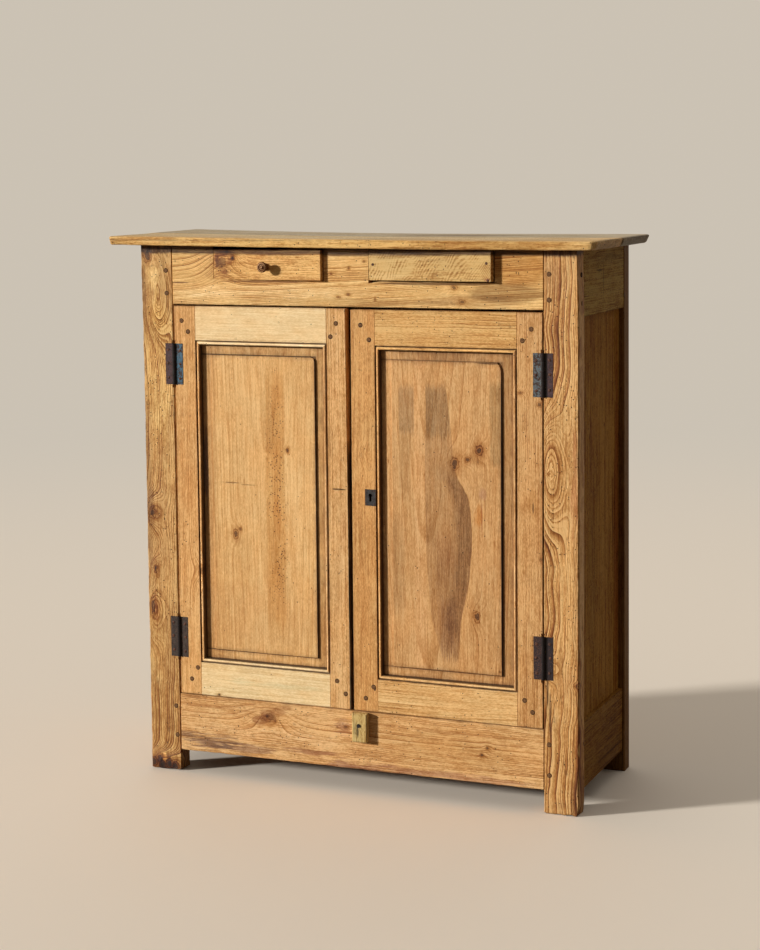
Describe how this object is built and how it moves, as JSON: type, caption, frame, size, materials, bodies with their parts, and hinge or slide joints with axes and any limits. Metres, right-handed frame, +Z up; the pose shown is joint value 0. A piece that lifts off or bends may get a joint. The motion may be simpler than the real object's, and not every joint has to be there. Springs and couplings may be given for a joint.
{
  "type": "jelly cupboard",
  "caption": "Free-standing old pine jelly cupboard with small drawers in the frieze, panelled doors on iron butt hinges and shelves inside.",
  "frame": {"origin": "on the floor, under the middle of the whole cupboard's outline", "axes": "+Z up, +X to the right as seen from the front, +Y from the front towards the back"},
  "size_m": [1.211, 0.4535, 1.293],
  "materials": {
    "old_pine": "old waxed pine, golden brown, worn",
    "door_pine": "old waxed pine, honey brown",
    "new_pine": "newer pale pine of the repaired rails, waxed",
    "panel_pine": "old waxed pine with grey stains",
    "top_pine": "old pine, greyed and worn",
    "inside_pine": "unfinished old pine",
    "button_wood": "dry greenish brown wood",
    "knob_wood": "dark turned wood",
    "old_iron": "old dark iron with rust",
    "painted_iron": "worn blue paint over rusty iron"
  },
  "bodies": {
    "carcass": {"post_front_left": "old_pine", "post_front_right": "old_pine", "post_back_left": "old_pine", "post_back_right": "old_pine", "frieze_rail": "old_pine", "front_bottom_rail": "old_pine", "side_rail_top_left": "old_pine", "side_rail_bottom_left": "old_pine", "side_panel_left": "panel_pine", "side_rail_top_right": "old_pine", "side_rail_bottom_right": "old_pine", "side_panel_right": "panel_pine", "back_rail_top": "inside_pine", "back_rail_bottom": "inside_pine", "back_board_1": "inside_pine", "back_board_2": "inside_pine", "back_board_3": "inside_pine", "bottom_board": "inside_pine", "shelf_lower": "inside_pine", "shelf_upper": "inside_pine", "top_board_front": "top_pine", "top_board_back": "top_pine", "drawer_runner_left": "inside_pine", "drawer_runner_middle": "inside_pine", "drawer_runner_right": "inside_pine", "turn_button_nail": "old_iron", "hinge_left_top_frame_leaf": "old_iron", "hinge_left_bottom_frame_leaf": "old_iron", "hinge_right_top_frame_leaf": "old_iron", "hinge_right_bottom_frame_leaf": "old_iron"},
    "door_left": {"door_left_hinge_stile": "door_pine", "door_left_meeting_stile": "door_pine", "door_left_top_rail": "new_pine", "door_left_bottom_rail": "new_pine", "door_left_panel": "panel_pine", "hinge_left_top_door_leaf": "painted_iron", "hinge_left_bottom_door_leaf": "painted_iron"},
    "door_right": {"door_right_hinge_stile": "door_pine", "door_right_meeting_stile": "door_pine", "door_right_top_rail": "door_pine", "door_right_bottom_rail": "door_pine", "door_right_panel": "panel_pine", "hinge_right_top_door_leaf": "painted_iron", "hinge_right_bottom_door_leaf": "painted_iron", "escutcheon": "old_iron", "lock_case": "old_iron"},
    "lock_bolt": {"lock_bolt": "old_iron"},
    "turn_button": {"turn_button": "button_wood"},
    "drawer_left": {"drawer_left_front": "old_pine", "drawer_left_side_left": "inside_pine", "drawer_left_side_right": "inside_pine", "drawer_left_back": "inside_pine", "drawer_left_bottom": "inside_pine", "drawer_left_knob": "knob_wood"},
    "drawer_right": {"drawer_right_front": "old_pine", "drawer_right_side_left": "inside_pine", "drawer_right_side_right": "inside_pine", "drawer_right_back": "inside_pine", "drawer_right_bottom": "inside_pine"}
  },
  "joints": [
    {"name": "door_left_swing", "type": "hinge", "parent": "carcass", "child": "door_left", "pos_m": [-0.44925, -0.1975, 0.665], "axis": [0, 0, -1], "range_deg": [0, 170]},
    {"name": "door_right_swing", "type": "hinge", "parent": "carcass", "child": "door_right", "pos_m": [0.47225, -0.1975, 0.665], "axis": [0, 0, 1], "range_deg": [0, 170]},
    {"name": "drawer_left_slide", "type": "slide", "parent": "carcass", "child": "drawer_left", "axis": [0, -1, 0], "range_m": [0, 0.22]},
    {"name": "drawer_right_slide", "type": "slide", "parent": "carcass", "child": "drawer_right", "axis": [0, -1, 0], "range_m": [0, 0.22]},
    {"name": "turn_button_turn", "type": "hinge", "parent": "carcass", "child": "turn_button", "pos_m": [0.0268, -0.2055, 0.163], "axis": [0, 1, 0], "continuous": true},
    {"name": "lock_bolt_slide", "type": "slide", "parent": "door_right", "child": "lock_bolt", "axis": [-1, 0, 0], "range_m": [0, 0.02]}
  ]
}
